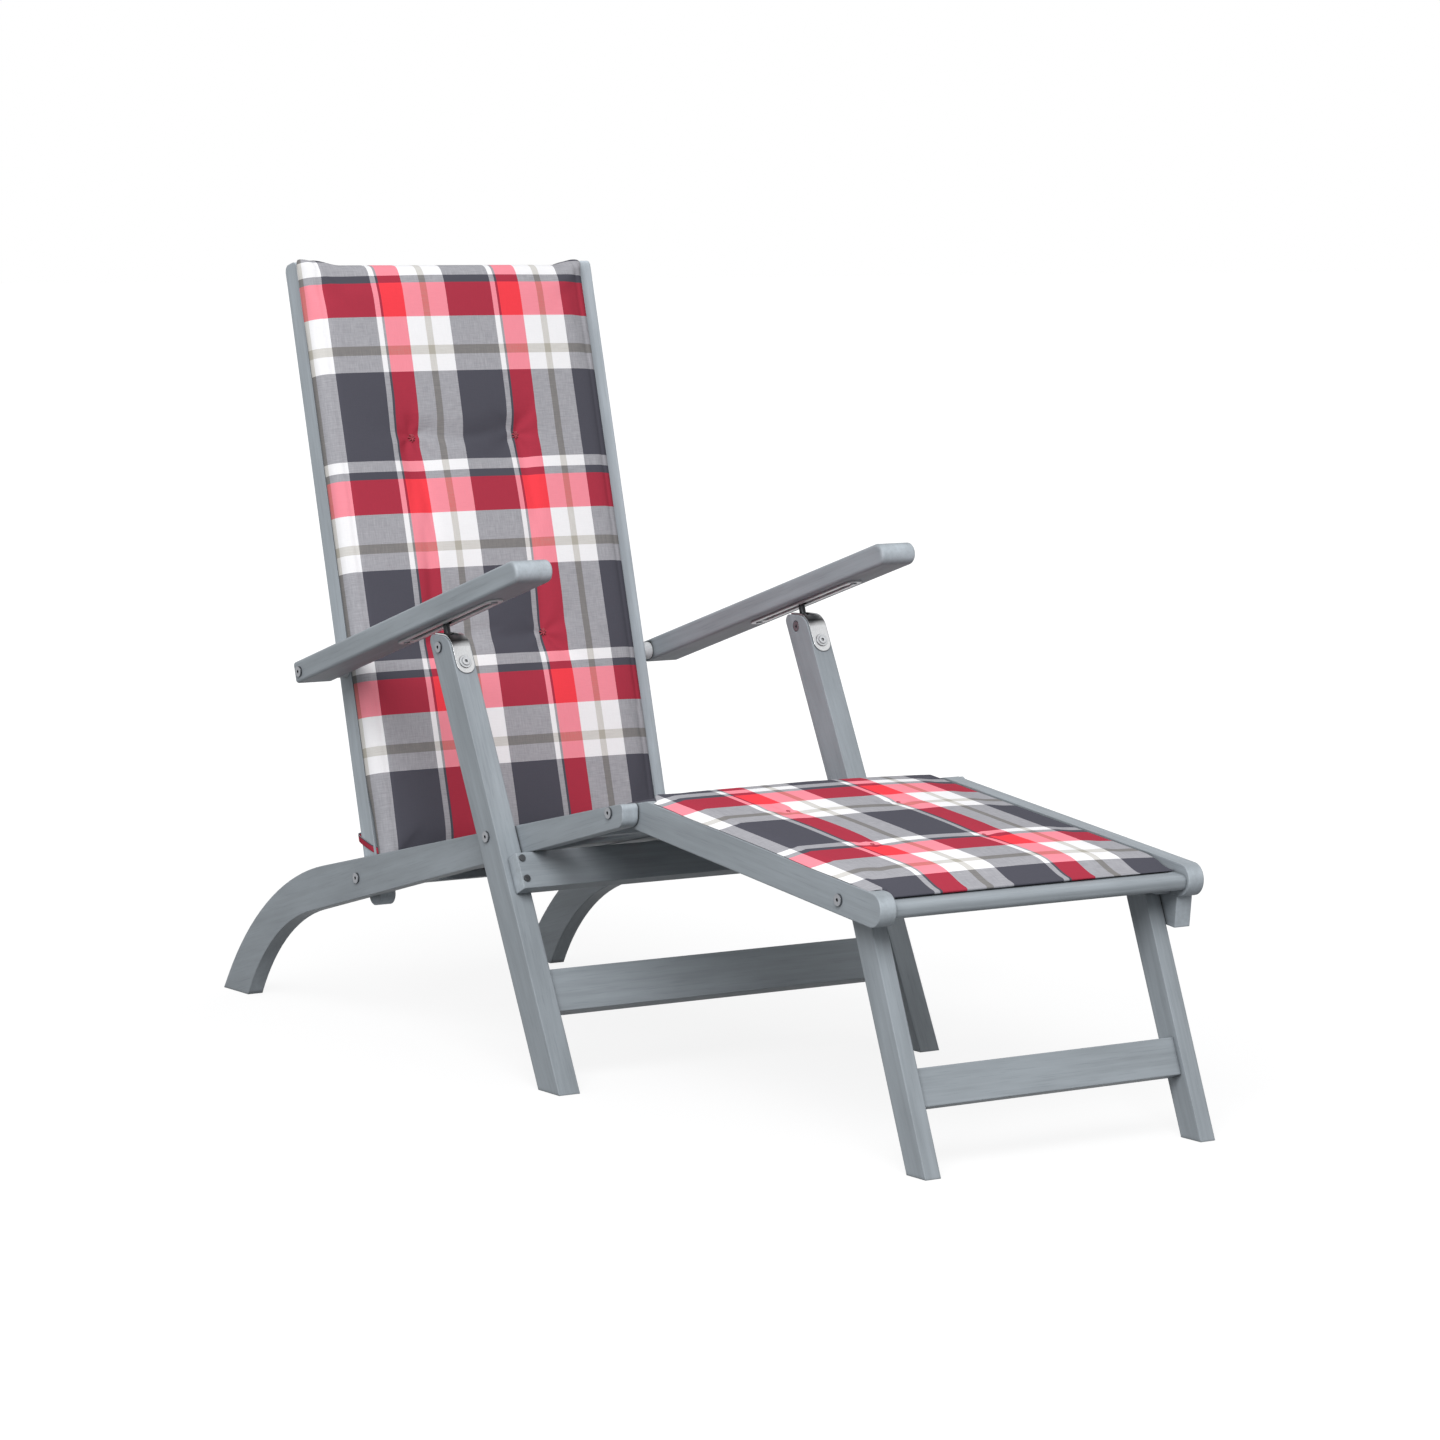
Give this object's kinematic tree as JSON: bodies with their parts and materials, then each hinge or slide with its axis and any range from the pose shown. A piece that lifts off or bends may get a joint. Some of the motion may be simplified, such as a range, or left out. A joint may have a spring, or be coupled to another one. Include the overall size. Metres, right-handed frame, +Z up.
{
  "type": "folding chaise lounge",
  "caption": "Folding wooden chaise lounge with sabre rear legs, reclining back, sliding armrests, folding footrest and a plaid tufted pad set.",
  "frame": {"origin": "centre of the bounding box on the floor", "axes": "+X toward the foot end, +Y toward the sitter's left, +Z up"},
  "size_m": [1.509, 0.5712, 0.9499],
  "materials": {
    "grey_wood": "grey washed, matt, fine straight grain",
    "steel": "bright zinc and stainless steel",
    "plaid_cloth": "woven plaid of charcoal, red, white and taupe",
    "spacer": "pale plastic"
  },
  "bodies": {
    "seat_frame": {"footrest_pivot_bolts": "steel", "leg_pivot_bolts": "steel", "seat_crossbar_front": "grey_wood", "seat_crossbar_rear": "grey_wood", "seat_pad": "plaid_cloth", "seat_rail_left": "grey_wood", "seat_rail_right": "grey_wood", "seat_slat_1": "grey_wood", "seat_slat_2": "grey_wood", "seat_slat_3": "grey_wood", "seat_slat_4": "grey_wood", "seat_slat_5": "grey_wood", "seat_slat_screws": "steel"},
    "back_bolts": {"back_pivot_bolts": "steel"},
    "backrest": {"armrest_spacers": "spacer", "back_crossbar_bottom": "grey_wood", "back_crossbar_middle": "grey_wood", "back_crossbar_top": "grey_wood", "back_pad": "plaid_cloth", "back_slat_1": "grey_wood", "back_slat_2": "grey_wood", "back_slat_3": "grey_wood", "back_slat_4": "grey_wood", "back_slat_5": "grey_wood", "back_slat_screws": "steel", "back_stile_left": "grey_wood", "back_stile_right": "grey_wood", "pad_hood": "plaid_cloth", "pad_ties": "plaid_cloth"},
    "arm_bolts": {"armrest_bolts": "steel"},
    "armrests": {"armrest_left": "grey_wood", "armrest_right": "grey_wood", "slot_plate_screws": "steel", "slot_plates": "steel"},
    "front_legs": {"apron_screws": "steel", "bracket_screws": "steel", "front_leg_left": "grey_wood", "front_leg_right": "grey_wood", "leg_apron": "grey_wood", "leg_stretcher": "grey_wood", "post_brackets": "steel", "stud_pins": "steel"},
    "arm_studs": {"armrest_studs": "steel"},
    "footrest": {"footrest_front_bar": "grey_wood", "footrest_leg_bolts": "steel", "footrest_pad": "plaid_cloth", "footrest_rail_block": "grey_wood", "footrest_rail_left": "grey_wood", "footrest_rail_right": "grey_wood", "footrest_rear_bar": "grey_wood", "footrest_slat_1": "grey_wood", "footrest_slat_2": "grey_wood", "footrest_slat_3": "grey_wood", "footrest_slat_4": "grey_wood", "footrest_slat_5": "grey_wood", "footrest_slat_screws": "steel", "leg_stop_blocks": "grey_wood"},
    "footrest_legs": {"footrest_leg_left": "grey_wood", "footrest_leg_right": "grey_wood", "footrest_leg_stretcher": "grey_wood"}
  },
  "joints": [
    {"name": "back_fold", "type": "hinge", "parent": "seat_frame", "child": "back_bolts", "pos_m": [-0.3915, 0, 0.188], "axis": [0, 1, 0], "range_deg": [0, 80], "deforming": ["back_pad", "seat_pad"]},
    {"name": "back_recline", "type": "hinge", "parent": "back_bolts", "child": "backrest", "pos_m": [-0.3915, 0, 0.188], "axis": [0, -1, 0], "range_deg": [0, 20]},
    {"name": "armrest_fold", "type": "hinge", "parent": "backrest", "child": "arm_bolts", "pos_m": [-0.4575, 0, 0.443], "axis": [0, 1, 0], "range_deg": [-96, 1]},
    {"name": "armrest_recline", "type": "hinge", "parent": "arm_bolts", "child": "armrests", "pos_m": [-0.4575, 0, 0.443], "axis": [0, 1, 0], "range_deg": [-0.5, 19]},
    {"name": "front_leg_fold", "type": "hinge", "parent": "seat_frame", "child": "front_legs", "pos_m": [-0.0225, 0, 0.283], "axis": [0, 1, 0], "range_deg": [0, 76.5]},
    {"name": "stud_swing", "type": "hinge", "parent": "front_legs", "child": "arm_studs", "pos_m": [-0.131, 0, 0.498], "axis": [0, 1, 0], "range_deg": [-92, 1]},
    {"name": "footrest_tilt", "type": "hinge", "parent": "seat_frame", "child": "footrest", "pos_m": [0.2015, 0, 0.333], "axis": [0, -1, 0], "range_deg": [-30, 18.8]},
    {"name": "footrest_leg_fold", "type": "hinge", "parent": "footrest", "child": "footrest_legs", "pos_m": [0.62609, 0, 0.2838], "axis": [0, 1, 0], "range_deg": [0, 106]}
  ],
  "couplings": [
    {"joint": "armrest_fold", "follows": "back_fold", "ratio": -1.191},
    {"joint": "front_leg_fold", "follows": "back_fold", "ratio": 0.95},
    {"joint": "stud_swing", "follows": "back_fold", "ratio": -1.141},
    {"joint": "armrest_recline", "follows": "back_recline", "ratio": 0.92}
  ]
}
